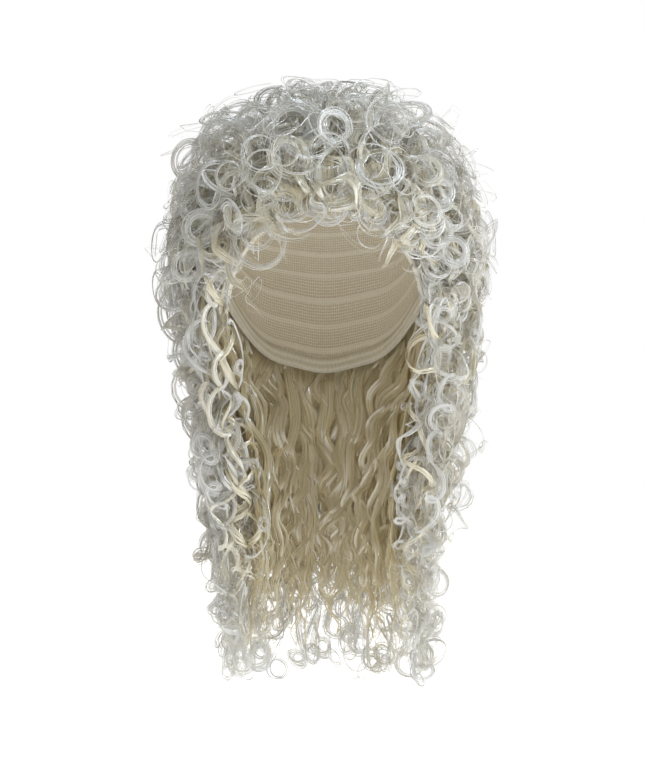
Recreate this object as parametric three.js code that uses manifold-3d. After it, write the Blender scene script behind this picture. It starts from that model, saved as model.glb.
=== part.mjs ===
// A long curly wig, held up as a head holds it: a hollow cap with an inner edge band, short curls
// over the cap, and long ringlets that hang round the face and neck.
// Millimetres, +Z up. The wearer faces -Y. The origin is the crown, on the cap's inner face.

import * as THREE from 'three';
import { mergeVertices } from 'three/addons/utils/BufferGeometryUtils.js';
import Module from 'manifold-3d';

const wasm = await Module();
wasm.setup();

// Head that the wig fits
const HEAD_BREADTH = 152;
const HEAD_LENGTH = 190;
const WIDEST_DROP = 88; // from the crown down to the widest level
const NAPE_DEPTH = 110; // how far the head's form would run on below the widest level

// Cap and band
const CAP_WALL = 1.8;
const BAND_WIDTH = 11;
const BAND_WALL = 1.2;
const CLEARANCE = 0.45; // between neighbouring pieces

// Hair
const HAIR_DROP = 371; // crown to the lowest tips
const HAIR_WIDTH = 228; // side to side, over the ears
const HAIR_BACK = 134; // crown to the hair's back face, along Y
const HAIR_FRONT = 118; // crown to the hair's front face, along Y
const MAT_WALL = 12; // hair that lies along the cap, under the curls
const MAT_LEVEL_DROP = 72; // where the short hair ends and the long hair begins
const LUMP_DEPTH = 4; // tousled relief of the hair that lies along the cap
const WAVE_DEPTH = 5; // waves in the long hair under the ringlets
const POINT_DEPTH = 14; // points along the long hair's lower edge
const CURTAIN_END = 0.93; // share of the hair's length at which those points end

// Curls: flat locks wound in coils, short ones that lie over the cap and long ringlets that hang
const CURL = { radius: 15, width: 19, thickness: 6, run: 60, turns: 1.6 };
const ROOT_DEPTH = 12;
const RINGLET = { radius: 15, width: 24, thickness: 7, pitch: 46 };

// Facets
const COLUMNS = 24;
const STEPS_PER_TURN = 6;
const CURTAIN_ROWS = 8;

// The cap's lower edge: the polar angle from the crown, by azimuth from the front, the same on
// both sides. It runs over the forehead, down into an ear tab, over the ear and down to the nape.
const CAP_EDGE = [
  { azimuth: 0, polar: 60 },
  { azimuth: 30, polar: 66 },
  { azimuth: 52, polar: 84 },
  { azimuth: 68, polar: 108 },
  { azimuth: 82, polar: 104 },
  { azimuth: 95, polar: 93 },
  { azimuth: 112, polar: 99 },
  { azimuth: 140, polar: 122 },
  { azimuth: 180, polar: 129 },
];

// The space that the hair leaves for the head and neck: its width is a share of the head's
// breadth, front and back are shares of half the head's length, and opening is the azimuth at
// which the hair begins beside the face.
const HOLLOW = [
  { drop: 0.18, width: 0.97, front: 0.97, back: 0.97, opening: 50 },
  { drop: 0.24, width: 1.0, front: 1.0, back: 1.0, opening: 51 },
  { drop: 0.34, width: 0.97, front: 0.96, back: 0.95, opening: 53 },
  { drop: 0.44, width: 0.84, front: 0.84, back: 0.79, opening: 56 },
  { drop: 0.54, width: 0.66, front: 0.7, back: 0.75, opening: 60 },
  { drop: 0.66, width: 0.56, front: 0.6, back: 0.72, opening: 66 },
  { drop: 0.8, width: 0.54, front: 0.56, back: 0.69, opening: 72 },
  { drop: 0.92, width: 0.6, front: 0.56, back: 0.66, opening: 76 },
];

// The hair's outline: right and left are the wearer's, as shares of half its width. Front and
// back are shares of its own front and back, and drop is a share of its length below the crown.
const OUTLINE = [
  { drop: 0.18, right: 0.96, left: 0.98, front: 1.0, back: 0.92 },
  { drop: 0.32, right: 0.98, left: 1.0, front: 0.98, back: 1.0 },
  { drop: 0.46, right: 0.9, left: 0.96, front: 0.92, back: 0.95 },
  { drop: 0.58, right: 0.84, left: 0.9, front: 0.84, back: 0.89 },
  { drop: 0.7, right: 0.77, left: 0.8, front: 0.76, back: 0.85 },
  { drop: 0.82, right: 0.73, left: 0.73, front: 0.7, back: 0.82 },
  { drop: 0.92, right: 0.66, left: 0.72, front: 0.68, back: 0.78 },
  { drop: 1.0, right: 0.6, left: 0.62, front: 0.64, back: 0.72 },
];

// The long hair, one row for each hank from the face to the nape, on both sides: the azimuths
// that it spans, as shares of the way from the face opening to the nape, the places of its two
// ringlets as shares of that span, and where they end.
const HANKS = [
  { name: 'face', from: 0.0, to: 0.33, places: [0.12, 0.62], tips: [0.93, 1.0] },
  { name: 'side', from: 0.33, to: 0.66, places: [0.22, 0.74], tips: [0.96, 0.99] },
  { name: 'nape', from: 0.66, to: 1.0, places: [0.25, 0.75], tips: [0.97, 1.0] },
];
const SIDES = [
  { name: 'right', sign: -1 },
  { name: 'left', sign: 1 },
];

// The short hair on the cap: each patch's span of azimuth
const CROWN_POLAR = 36;
const PATCHES = [
  { name: 'fringe_curls', from: -50, to: 50 },
  { name: 'left_temple_curls', from: 50, to: 108 },
  { name: 'back_curls', from: 108, to: 252 },
  { name: 'right_temple_curls', from: 252, to: 310 },
];

// The short curls, in rows over the cap. A row spans two azimuths at one polar angle, and its
// curls head down the head, swept by an angle towards the wearer's left.
const CURL_ROWS = [
  { piece: 'crown_curls', polar: 15, from: 0, to: 288, count: 5, sweep: 66 },
  { piece: 'fringe_curls', polar: 43, from: -44, to: 34, count: 4, sweep: 24 },
  { piece: 'left_temple_curls', polar: 43, from: 60, to: 94, count: 2, sweep: 22 },
  { piece: 'left_temple_curls', polar: 62, from: 62, to: 104, count: 2, sweep: -26 },
  { piece: 'back_curls', polar: 43, from: 116, to: 230, count: 5, sweep: 24 },
  { piece: 'back_curls', polar: 62, from: 126, to: 240, count: 5, sweep: -28 },
  { piece: 'right_temple_curls', polar: 43, from: 300, to: 266, count: 2, sweep: -22 },
  { piece: 'right_temple_curls', polar: 62, from: 298, to: 256, count: 2, sweep: 26 },
];

const HAIR = new THREE.MeshStandardMaterial({ color: 0xe4e0cc, roughness: 0.42, metalness: 0 });
const CAP_NET = new THREE.MeshStandardMaterial({ color: 0xd9cfb4, roughness: 0.85, metalness: 0 });
const ELASTIC = new THREE.MeshStandardMaterial({ color: 0xe8dfc8, roughness: 0.8, metalness: 0 });

const rad = THREE.MathUtils.degToRad;
const lerp = THREE.MathUtils.lerp;
const deg = THREE.MathUtils.radToDeg;
const BAND_ANGLE = deg(BAND_WIDTH / WIDEST_DROP);
const MAT_POLAR = deg(Math.acos(1 - MAT_LEVEL_DROP / WIDEST_DROP));

// One column of a table at a given place along its key, in a straight line between its rows
function read(table, key, at, column) {
  const last = table.length - 1;
  if (at <= table[0][key]) return table[0][column];
  if (at >= table[last][key]) return table[last][column];
  const i = table.findIndex((row) => row[key] > at) - 1;
  const share = (at - table[i][key]) / (table[i + 1][key] - table[i][key]);
  return lerp(table[i][column], table[i + 1][column], share);
}

// The head's surface at an azimuth from the front (positive towards the wearer's left) and a
// polar angle from the crown, both in degrees, moved outwards by offset
function headPoint(azimuth, polar, offset) {
  const around = rad(azimuth);
  const down = rad(polar);
  const depth = polar > 90 ? NAPE_DEPTH : WIDEST_DROP + offset;
  return new THREE.Vector3(
    (HEAD_BREADTH / 2 + offset) * Math.sin(down) * Math.sin(around),
    -(HEAD_LENGTH / 2 + offset) * Math.sin(down) * Math.cos(around),
    depth * Math.cos(down) - WIDEST_DROP,
  );
}

function capEdge(azimuth) {
  const folded = Math.abs(THREE.MathUtils.euclideanModulo(azimuth + 180, 360) - 180);
  return read(CAP_EDGE, 'azimuth', folded, 'polar');
}

// A point of an oval section with its own reach to each side, to the front and to the back
function ovalPoint(azimuth, z, reach) {
  const around = rad(azimuth);
  const across = Math.sin(around);
  const ahead = Math.cos(around);
  const x = across * (across < 0 ? reach.right : reach.left);
  const y = -ahead * (ahead > 0 ? reach.front : reach.back);
  return new THREE.Vector3(x, y, z);
}

function hollowPoint(azimuth, drop) {
  const half = (read(HOLLOW, 'drop', drop, 'width') * HEAD_BREADTH) / 2;
  const front = (read(HOLLOW, 'drop', drop, 'front') * HEAD_LENGTH) / 2;
  const back = (read(HOLLOW, 'drop', drop, 'back') * HEAD_LENGTH) / 2;
  return ovalPoint(azimuth, -drop * HAIR_DROP, { left: half, right: half, front, back });
}

// The hair's outline, moved inwards by inset
function outlinePoint(azimuth, drop, inset) {
  return ovalPoint(azimuth, -drop * HAIR_DROP, {
    right: (read(OUTLINE, 'drop', drop, 'right') * HAIR_WIDTH) / 2 - inset,
    left: (read(OUTLINE, 'drop', drop, 'left') * HAIR_WIDTH) / 2 - inset,
    front: read(OUTLINE, 'drop', drop, 'front') * HAIR_FRONT - inset,
    back: read(OUTLINE, 'drop', drop, 'back') * HAIR_BACK - inset,
  });
}

// A closed mesh of points and triangles as a solid, with coincident points merged
function solidOf(points, triangles) {
  const geometry = new THREE.BufferGeometry();
  const position = points.flatMap((p) => [p.x, p.y, p.z]);
  geometry.setAttribute('position', new THREE.Float32BufferAttribute(position, 3));
  geometry.setIndex(triangles.flat());
  const merged = mergeVertices(geometry, 1e-4);
  const index = Array.from(merged.index.array);
  const kept = [];
  for (let i = 0; i < index.length; i += 3) {
    const [a, b, c] = index.slice(i, i + 3);
    if (a !== b && b !== c && c !== a) kept.push(a, b, c);
  }
  const solid = new wasm.Manifold(
    new wasm.Mesh({
      numProp: 3,
      vertProperties: new Float32Array(merged.attributes.position.array),
      triVerts: new Uint32Array(kept),
    }),
  );
  return solid.volume() < 0 ? solidOf(points, triangles.map(([a, b, c]) => [a, c, b])) : solid;
}

// A wall between an outer and an inner grid of points, both given as rows of equal length
function wall(outer, inner, closedRound) {
  const rows = outer.length;
  const columns = outer[0].length;
  const points = [...outer.flat(), ...inner.flat()];
  const out = (r, c) => r * columns + (c % columns);
  const into = (r, c) => rows * columns + out(r, c);
  const triangles = [];
  const quad = (a, b, c, d) => triangles.push([a, b, c], [a, c, d]);
  const spans = closedRound ? columns : columns - 1;
  for (let c = 0; c < spans; c++) {
    for (let r = 0; r < rows - 1; r++) {
      quad(out(r, c), out(r + 1, c), out(r + 1, c + 1), out(r, c + 1));
      quad(into(r, c), into(r, c + 1), into(r + 1, c + 1), into(r + 1, c));
    }
    quad(out(0, c), out(0, c + 1), into(0, c + 1), into(0, c));
    quad(out(rows - 1, c), into(rows - 1, c), into(rows - 1, c + 1), out(rows - 1, c + 1));
  }
  for (let r = 0; !closedRound && r < rows - 1; r++) {
    quad(out(r, 0), into(r, 0), into(r + 1, 0), out(r + 1, 0));
    const end = columns - 1;
    quad(out(r, end), out(r + 1, end), into(r + 1, end), into(r, end));
  }
  return solidOf(points, triangles);
}

// count + 1 even values from a to b
function spread(a, b, count) {
  return Array.from({ length: count + 1 }, (_, i) => lerp(a, b, i / count));
}

const fullTurn = spread(0, 360, COLUMNS).slice(0, -1);

// Polar angles from the crown to the cap's edge at an azimuth, with the band's top as one of them
function capRows(azimuth) {
  const edge = capEdge(azimuth);
  return [...spread(0, edge - BAND_ANGLE, 5), edge];
}

// The cap is one hollow dome
function cap() {
  const face = (offset) =>
    capRows(0).map((_, r) => fullTurn.map((az) => headPoint(az, capRows(az)[r], offset)));
  return joinAtCrown(face(CAP_WALL), face(0));
}

// Outer and inner faces that meet at the rim, each closed over the crown by its first row
function joinAtCrown(outer, inner) {
  const rows = outer.length;
  const columns = outer[0].length;
  const points = [...outer.flat(), ...inner.flat()];
  const out = (r, c) => r * columns + (c % columns);
  const into = (r, c) => rows * columns + out(r, c);
  const triangles = [];
  for (let c = 0; c < columns; c++) {
    for (let r = 0; r < rows - 1; r++) {
      triangles.push([out(r, c), out(r + 1, c), out(r + 1, c + 1)]);
      triangles.push([out(r, c), out(r + 1, c + 1), out(r, c + 1)]);
      triangles.push([into(r, c), into(r + 1, c + 1), into(r + 1, c)]);
      triangles.push([into(r, c), into(r, c + 1), into(r + 1, c + 1)]);
    }
    triangles.push([out(rows - 1, c), into(rows - 1, c), into(rows - 1, c + 1)]);
    triangles.push([out(rows - 1, c), into(rows - 1, c + 1), out(rows - 1, c + 1)]);
  }
  return solidOf(points, triangles);
}

// The band follows the cap's edge, inside it
function band() {
  const face = (offset) =>
    [BAND_ANGLE, 0].map((up) => fullTurn.map((az) => headPoint(az, capEdge(az) - up, offset)));
  return wall(face(-CLEARANCE), face(-CLEARANCE - BAND_WALL), true);
}

// What the hair is cut from so that it clears the head and the cap: the cap's outer face,
// run on below its edge
function headForm() {
  const lowest = 150;
  const rowsAt = (az) => [...capRows(az), ...spread(capEdge(az), lowest, 3).slice(1)];
  const face = rowsAt(0).map((_, r) =>
    fullTurn.map((az) => headPoint(az, rowsAt(az)[r], CAP_WALL + CLEARANCE)),
  );
  const base = headPoint(0, lowest, 0).z;
  face.push(fullTurn.map(() => new THREE.Vector3(0, 0, base)));
  const columns = fullTurn.length;
  const at = (r, c) => r * columns + (c % columns);
  const triangles = [];
  for (let r = 0; r < face.length - 1; r++) {
    for (let c = 0; c < columns; c++) {
      triangles.push([at(r, c), at(r + 1, c), at(r + 1, c + 1)]);
      triangles.push([at(r, c), at(r + 1, c + 1), at(r, c + 1)]);
    }
  }
  return solidOf(face.flat(), triangles);
}

// Short hair that lies on the cap between two azimuths, from a polar angle down to the cap's edge
// or to the long hair
function mat(from, to, high, low, grow) {
  const margin = deg((CLEARANCE / 2 - grow) / (HEAD_BREADTH / 2));
  const closedRound = to - from >= 360;
  const count = Math.round((to - from) / (360 / COLUMNS));
  const azimuths = closedRound ? fullTurn : spread(from + margin, to - margin, count);
  const top = high > 0 ? high + margin : 0;
  const rows = Math.ceil((low - high) / 12);
  const polars = (azimuth) => spread(top, Math.min(low, capEdge(azimuth) - 1.5) - margin, rows);
  const face = (offset, relief) =>
    spread(0, rows, rows).map((r) =>
      azimuths.map((az, c) => headPoint(az, polars(az)[r], offset - ((r + c) % 2) * relief)),
    );
  const outer = face(CAP_WALL + MAT_WALL + grow, high > 0 ? LUMP_DEPTH : 0);
  const inner = face(0, 0);
  return high > 0 ? wall(outer, inner, closedRound) : joinAtCrown(outer, inner);
}

// Long hair under the ringlets, between two shares of the way from face to nape, on one side.
// Its outer face swells in waves down its length, and its lower edge ends in points.
function curtain(side, hank, grow) {
  const top = MAT_LEVEL_DROP / HAIR_DROP;
  const drops = spread(top, CURTAIN_END, CURTAIN_ROWS);
  const margin = (CLEARANCE / 2 - grow) / (HEAD_BREADTH * 1.5);
  const shares = spread(hank.from + margin, hank.to - margin, 4);
  const depth = 2 * RINGLET.radius + CLEARANCE;
  const outer = [];
  const inner = [];
  drops.forEach((drop, r) => {
    const foot = Math.max(0, (drop - 0.75) / (CURTAIN_END - 0.75));
    outer.push([]);
    inner.push([]);
    shares.forEach((share, c) => {
      const azimuth = side.sign * lerp(read(HOLLOW, 'drop', drop, 'opening'), 180, share);
      const end = r === CURTAIN_ROWS ? (c % 2 ? -POINT_DEPTH : 0) + grow : 0;
      const lift = r === 0 ? grow - CLEARANCE / 2 : -end;
      const wave = r && (r + c) % 2 ? WAVE_DEPTH : 0;
      const least = hollowPoint(azimuth, drop);
      const most = outlinePoint(azimuth, drop, depth + wave);
      const bare = Math.hypot(least.x, least.y);
      const full = Math.max(Math.hypot(most.x, most.y), bare + MAT_WALL);
      const scale = (lerp(full, bare + MAT_WALL / 3, foot) + grow) / bare;
      inner.at(-1).push(new THREE.Vector3(least.x, least.y, least.z + lift));
      outer.at(-1).push(new THREE.Vector3(least.x * scale, least.y * scale, least.z + lift));
    });
  });
  return wall(outer, inner, false);
}

// A closed solid through rings of points, with a centre point at each end
function loft(rings) {
  const sides = rings[0].length;
  const middle = (ring) =>
    ring.reduce((sum, p) => sum.add(p), new THREE.Vector3()).divideScalar(sides);
  const points = [...rings.flat(), middle(rings[0]), middle(rings.at(-1))];
  const triangles = [];
  const last = (rings.length - 1) * sides;
  for (let s = 0; s < sides; s++) {
    const next = (s + 1) % sides;
    for (let i = 0; i < last; i += sides) {
      triangles.push([i + s, i + next, i + sides + next], [i + s, i + sides + next, i + sides + s]);
    }
    triangles.push([points.length - 2, next, s], [points.length - 1, last + s, last + next]);
  }
  return solidOf(points, triangles);
}

// A flat lock wound in a coil round a guide line. At each share of the way the guide gives the
// line's place, two directions across it, its own direction and how full the coil is there.
function coil(guide, { radius, width, thickness }, turns, phase, hand, grow) {
  const steps = Math.round(turns * STEPS_PER_TURN);
  const rings = spread(0, 1, steps).map((way) => {
    const { at, out, across, along, full } = guide(way);
    const turn = hand * (phase + way * turns * 2 * Math.PI);
    const spoke = out.clone().multiplyScalar(Math.cos(turn));
    spoke.addScaledVector(across, Math.sin(turn));
    const halfThickness = (thickness / 2) * full;
    const halfWidth = (width / 2) * full;
    const middle = at.clone().addScaledVector(spoke, full * radius - halfThickness);
    middle.addScaledVector(along, way === 0 ? -grow : way === 1 ? grow : 0);
    const corner = (a, b) =>
      middle
        .clone()
        .addScaledVector(spoke, a * (halfThickness + grow))
        .addScaledVector(along, b * (halfWidth + grow));
    return [corner(1, 1), corner(-1, 1), corner(-1, -1), corner(1, -1)];
  });
  return loft(rings);
}

// How full a curl is along its way from root to tip
const FULLNESS = [
  { way: 0, share: 0.6 },
  { way: 0.15, share: 1 },
  { way: 0.5, share: 0.94 },
  { way: 0.88, share: 0.72 },
  { way: 1, share: 0.4 },
];

// How deep a curl's line lies in the hair under it: only its root is sunk
function rootDepth(way) {
  return ROOT_DEPTH * Math.max(0, 1 - 6 * way);
}

// A short curl that runs over the hair on the cap, from an azimuth and polar angle
function shortCurl(azimuth, polar, sweep, grow) {
  const offset = CAP_WALL + MAT_WALL + CURL.radius;
  const reach = HEAD_BREADTH / 2 + offset;
  const steepness = Math.max(Math.sin(rad(polar + 16)), 0.4);
  const track = (length) => {
    const down = deg((length * Math.cos(rad(sweep))) / reach);
    const around = deg((length * Math.sin(rad(sweep))) / reach);
    return headPoint(azimuth + around / steepness, polar + down, offset);
  };
  const guide = (way) => {
    const at = track(way * CURL.run);
    const along = track(way * CURL.run + 1).sub(track(way * CURL.run - 1)).normalize();
    const out = at.clone().setZ(at.z + WIDEST_DROP);
    out.addScaledVector(along, -out.dot(along)).normalize();
    const across = new THREE.Vector3().crossVectors(along, out);
    const full = read(FULLNESS, 'way', way, 'share');
    at.addScaledVector(out, -CURL.radius * (1 - full) - rootDepth(way));
    return { at, out, across, along, full };
  };
  const phase = Math.PI + 0.8 * Math.sin(azimuth + polar);
  return coil(guide, CURL, CURL.turns, phase, sweep < 0 ? -1 : 1, grow);
}

// The short curls of one piece
function shortCurls(piece, grow) {
  return CURL_ROWS.filter((row) => row.piece === piece).flatMap((row) =>
    Array.from({ length: row.count }, (_, i) => {
      const azimuth = lerp(row.from, row.to, i / (row.count - 1));
      return shortCurl(azimuth, row.polar, row.sweep, grow);
    }),
  );
}

// A ringlet that springs from the long hair and hangs down outside it, at a share of the way from
// face to nape
function ringlet(side, share, tip, grow) {
  const top = MAT_LEVEL_DROP / HAIR_DROP + 0.04 + 0.03 * Math.sin(20 * share);
  const turns = ((tip - top) * HAIR_DROP) / RINGLET.pitch;
  const guide = (way) => {
    const drop = lerp(top, tip, way);
    const full = read(FULLNESS, 'way', way, 'share');
    const azimuth = side.sign * lerp(read(HOLLOW, 'drop', drop, 'opening'), 180, share);
    return {
      at: outlinePoint(azimuth, drop, full * RINGLET.radius + rootDepth(way)),
      out: new THREE.Vector3(Math.sin(rad(azimuth)), -Math.cos(rad(azimuth)), 0),
      across: new THREE.Vector3(Math.cos(rad(azimuth)), Math.sin(rad(azimuth)), 0),
      along: new THREE.Vector3(0, 0, -1),
      full,
    };
  };
  return coil(guide, RINGLET, turns, Math.PI, side.sign, grow);
}

// The pieces of hair, each a backing with its curls fused to it. Each has a grown copy, which
// its neighbours are cut by, so that they keep their clearance.
function hairPieces() {
  const pieces = [];
  const add = (name, make) => {
    pieces.push({
      name,
      solid: wasm.Manifold.union(make(0)),
      grown: () => wasm.Manifold.union(make(CLEARANCE)),
    });
  };
  for (const side of SIDES) {
    for (const hank of HANKS) {
      add(`${side.name}_${hank.name}_ringlets`, (grow) => [
        curtain(side, hank, grow),
        ...hank.tips.map((tip, i) => {
          const share = lerp(hank.from, hank.to, hank.places[i]);
          return ringlet(side, share, tip, grow);
        }),
      ]);
    }
  }
  for (const patch of PATCHES) {
    add(patch.name, (grow) => [
      mat(patch.from, patch.to, CROWN_POLAR, MAT_POLAR, grow),
      ...shortCurls(patch.name, grow),
    ]);
  }
  add('crown_curls', (grow) => [
    mat(0, 360, 0, CROWN_POLAR, grow),
    ...shortCurls('crown_curls', grow),
  ]);
  return pieces;
}

// The largest body of a solid, without the slivers that a cut leaves
function largest(solid) {
  return solid.decompose().reduce((a, b) => (a.volume() > b.volume() ? a : b)).simplify(0.1);
}

function meshOf(name, solid, material) {
  const { numProp, vertProperties, triVerts } = solid.getMesh();
  const position = [];
  for (let i = 0; i < vertProperties.length; i += numProp) {
    position.push(vertProperties[i], vertProperties[i + 1], vertProperties[i + 2]);
  }
  const geometry = new THREE.BufferGeometry();
  geometry.setAttribute('position', new THREE.Float32BufferAttribute(position, 3));
  geometry.setIndex(Array.from(triVerts));
  geometry.computeVertexNormals();
  const mesh = new THREE.Mesh(geometry, material);
  mesh.name = name;
  return mesh;
}

const wig = new THREE.Group();
wig.add(meshOf('cap', cap(), CAP_NET));
wig.add(meshOf('edge_band', band(), ELASTIC));

let taken = headForm();
for (const { name, solid, grown } of hairPieces()) {
  wig.add(meshOf(name, largest(solid.subtract(taken)), HAIR));
  taken = taken.add(grown());
}

export default wig;
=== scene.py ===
# Curly wig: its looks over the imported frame.
# Lengths are millimetres until a mesh is made. +Z is up, the wearer faces -Y, +X is towards the
# wearer's left, and the origin is the crown, on the cap's inner face.
import math

import bpy
import numpy as np
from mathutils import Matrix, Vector


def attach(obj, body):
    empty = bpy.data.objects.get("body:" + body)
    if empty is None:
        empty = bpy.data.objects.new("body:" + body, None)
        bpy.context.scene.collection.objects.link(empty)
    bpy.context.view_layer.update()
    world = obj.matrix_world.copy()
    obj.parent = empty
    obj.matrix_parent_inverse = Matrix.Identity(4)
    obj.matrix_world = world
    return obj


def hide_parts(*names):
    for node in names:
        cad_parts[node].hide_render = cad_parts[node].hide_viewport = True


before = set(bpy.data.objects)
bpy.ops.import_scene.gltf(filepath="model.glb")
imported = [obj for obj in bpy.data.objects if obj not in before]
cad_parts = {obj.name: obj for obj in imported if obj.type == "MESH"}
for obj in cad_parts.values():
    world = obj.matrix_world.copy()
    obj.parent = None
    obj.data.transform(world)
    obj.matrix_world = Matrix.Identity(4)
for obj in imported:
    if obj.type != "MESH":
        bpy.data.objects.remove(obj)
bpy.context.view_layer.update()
MM = 0.001
TURN = 2 * math.pi


def columns(names, rows):
    """A table's rows as an array for each of its named columns."""
    return dict(zip(names.split(), np.array(rows, float).T))


# The photograph's frame: its scale at the wig's plane and the place of the crown in it
IMAGE_WIDTH, IMAGE_HEIGHT = 645, 774
MM_PER_PIXEL = 0.7
CROWN_PIXEL = (325.0, 150.0)
CAMERA_DISTANCE = 3000.0
SENSOR_HEIGHT = 24.0

# The stage, in metres: the floor, and what the lamps point at
FLOOR = -0.40
FLOOR_RADIUS = 6
FLOOR_SIDES = 64
LAMPS_AIM = (0, 0, -0.15)

# The part's own sizes
HEAD_BREADTH = 152.0
HEAD_LENGTH = 190.0
WIDEST_DROP = 88.0
NAPE_DEPTH = 110.0
CAP_WALL = 1.8
WEFT_ROWS = 13
BAND_WIDTH = 11.0
BAND_WALL = 1.2
CLEARANCE = 0.45
HAIR_DROP = 371.0
HAIR_WIDTH = 228.0
HAIR_BACK = 134.0
HAIR_FRONT = 118.0

# Middle of the head at its widest, and the way that the wearer faces
HEAD_MIDDLE = np.array([0.0, 0.0, -WIDEST_DROP])
AHEAD = np.array([0.0, -1.0, 0.0])
UP = np.array([0.0, 0.0, 1.0])

# The cap's edge: azimuth from the front and polar angle from the crown, the same on both sides.
# Its corners are rounded over EDGE_ROUNDING degrees to either side.
CAP_EDGE = columns(
    "azimuth polar",
    [(0, 60), (30, 66), (52, 84), (68, 108), (82, 104), (95, 93), (112, 99), (140, 122), (180, 129)],
)
EDGE_ROUNDING = 9
EDGE_SAMPLES = 7

# How far the short curls stand off the head, which is less by FRONT_CUT over the forehead
HAIR_HEIGHT = columns("polar height", [(0, 44), (20, 48), (42, 53), (60, 46), (90, 37), (120, 34)])
FRONT_CUT = 0.22

# The hollow that the hanging hair leaves: shares of the head's size, and the azimuth where the hair starts
HOLLOW = columns(
    "drop width front back opening",
    [
        (0.18, 0.97, 0.97, 0.97, 50),
        (0.24, 1.00, 1.00, 1.00, 51),
        (0.34, 0.97, 0.96, 0.95, 53),
        (0.44, 0.84, 0.84, 0.79, 56),
        (0.54, 0.66, 0.70, 0.75, 60),
        (0.66, 0.56, 0.60, 0.72, 66),
        (0.80, 0.54, 0.56, 0.69, 72),
        (0.92, 0.60, 0.56, 0.66, 76),
    ],
)
# The outline of the hanging hair: shares of its width to the wearer's right and left, and of its reach
OUTLINE = columns(
    "drop right left front back",
    [
        (0.18, 0.96, 0.98, 1.00, 0.92),
        (0.32, 0.98, 1.00, 0.98, 1.00),
        (0.46, 0.90, 0.96, 0.92, 0.95),
        (0.58, 0.84, 0.90, 0.84, 0.89),
        (0.70, 0.77, 0.80, 0.76, 0.85),
        (0.82, 0.73, 0.73, 0.70, 0.82),
        (0.92, 0.66, 0.72, 0.68, 0.78),
        (1.00, 0.60, 0.62, 0.64, 0.72),
    ],
)

# The box that the hair ends in: what reaches past it is moved back by the share PRESS
LAST_LOW = np.array([-118.0, -128.0, -374.0])
LAST_HIGH = np.array([118.0, 137.0, 46.0])
PRESS = 0.65

# Roots stand at ROOT_HEIGHT off the cap's inner face, and strands keep HAIR_GAP off the cap. Over a
# SOFTNESS share of the head's half width, a push fades out, and past CLEAR_FROM nothing is pushed.
ROOT_HEIGHT = CAP_WALL + 1
HAIR_GAP = 0.8
SOFTNESS = 0.03
CLEAR_FROM = 1.3
PUSH_ROUNDS = 4

# Hair material: each strand has a lane of the map, deep lanes first
DEPTHS = 8
LANES_PER_DEPTH = 8
LANES = DEPTHS * LANES_PER_DEPTH
LANE_MARGIN = 0.08

# Strands of a lock: the share by which the shortest end early, how their widths vary, and how far
# the edges of a strip face to its sides, as on a round strand
ENDS_EARLY = 0.25
RING_ENDS_EARLY = 0.22
STRAND_WIDTHS = (0.6, 1.35)
RING_STRAND_WIDTHS = (0.65, 1.3)
NORMAL_BEND = 0.4

# Rings: samples in a turn, and the share of a lock that leads into its ring
RING_STEPS = 18
LEAD_IN = 0.35

# How locks are wound: width and thickness of a lock, width of a strand, the share of the length over
# which the coils grow (root), by how much they get smaller (fall) and tighten (tight) to the tip,
# the share of locks that change hand (flips), how strands twist, and how far the coils lie flat in
# a plane and run as loops along the path
PLAIN = dict(flips=0.3, twist=0.4, plane=0.0, loop=0.0)
RINGLET = dict(width=3.5, thickness=1.0, strand=0.7, root=0.1, fall=0.35, tight=0.45, twist=0.2)
LOOPED = dict(strand=0.6, plane=1.0, loop=1.0)
TIP = dict(width=3.0, thickness=0.8, strand=0.65, root=0.45, fall=0.45, tight=0.55, flips=0.0, twist=0.2)
SHORT = dict(
    width=4.0, thickness=1.2, strand=0.7, root=0.2, fall=0.5, tight=0.3, twist=0.2, plane=1.0, loop=1.0
)
FLOWING = dict(width=7.0, thickness=1.5, strand=1.0, root=0.25, fall=0.3, tight=0.2, twist=0.2, plane=1.0)
UNDER = dict(width=3.0, thickness=0.6, strand=2.2, root=0.3, fall=0.1, tight=0.2, twist=0.1, plane=1.0)

# Tones, from 0 for the warmest and deepest to 1 for the palest: of ringlets by their depth, and of
#  the others. The warmth of the deep tones is painted shade inside the hair's mass. DRAWN_FALL is how much
#  smaller the loops of DRAWN get.
RINGLET_TONE = (0.14, 0.84, 1.3)
SHORT_TONE = 0.85
UNDER_TONE = 0.2
TIP_TONE = 0.95
RING_TONE = 0.95
HANGING_RING_TONE = 0.9
DRAWN_TONE = 1.0
DRAWN_FALL = 0.25

rng = np.random.default_rng(20261)


# Forms of the part


def unit(v):
    return v / np.maximum(np.linalg.norm(v, axis=-1, keepdims=True), 1e-9)


def smooth(x, low, high):
    """From 0 at low to 1 at high, with a level start and end."""
    f = np.clip((x - low) / (high - low), 0, 1)
    return f * f * (3 - 2 * f)


def head_point(azimuth, polar, offset):
    """Places at an offset from the cap's inner face."""
    around, down = np.radians(azimuth), np.radians(polar)
    depth = np.where(np.asarray(polar) > 90, NAPE_DEPTH, WIDEST_DROP + offset)
    return np.stack(
        [
            (HEAD_BREADTH / 2 + offset) * np.sin(down) * np.sin(around),
            -(HEAD_LENGTH / 2 + offset) * np.sin(down) * np.cos(around),
            depth * np.cos(down) - WIDEST_DROP,
        ],
        axis=-1,
    )


def cap_edge(azimuth):
    """Polar angle of the cap's edge."""
    folded = np.abs((np.asarray(azimuth, float) + 180) % 360 - 180)
    near = np.abs(folded[..., None] + np.linspace(-EDGE_ROUNDING, EDGE_ROUNDING, EDGE_SAMPLES))
    near = 180 - np.abs(180 - near)
    return np.interp(near, CAP_EDGE["azimuth"], CAP_EDGE["polar"]).mean(axis=-1)


def hair_height(azimuth, polar):
    """How far the short curls stand off the head."""
    ahead = np.clip(np.cos(np.radians(azimuth)), 0, 1)
    side_on = np.interp(polar, HAIR_HEIGHT["polar"], HAIR_HEIGHT["height"])
    return side_on * (1 - FRONT_CUT * ahead * smooth(polar, 20, 60))


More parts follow.
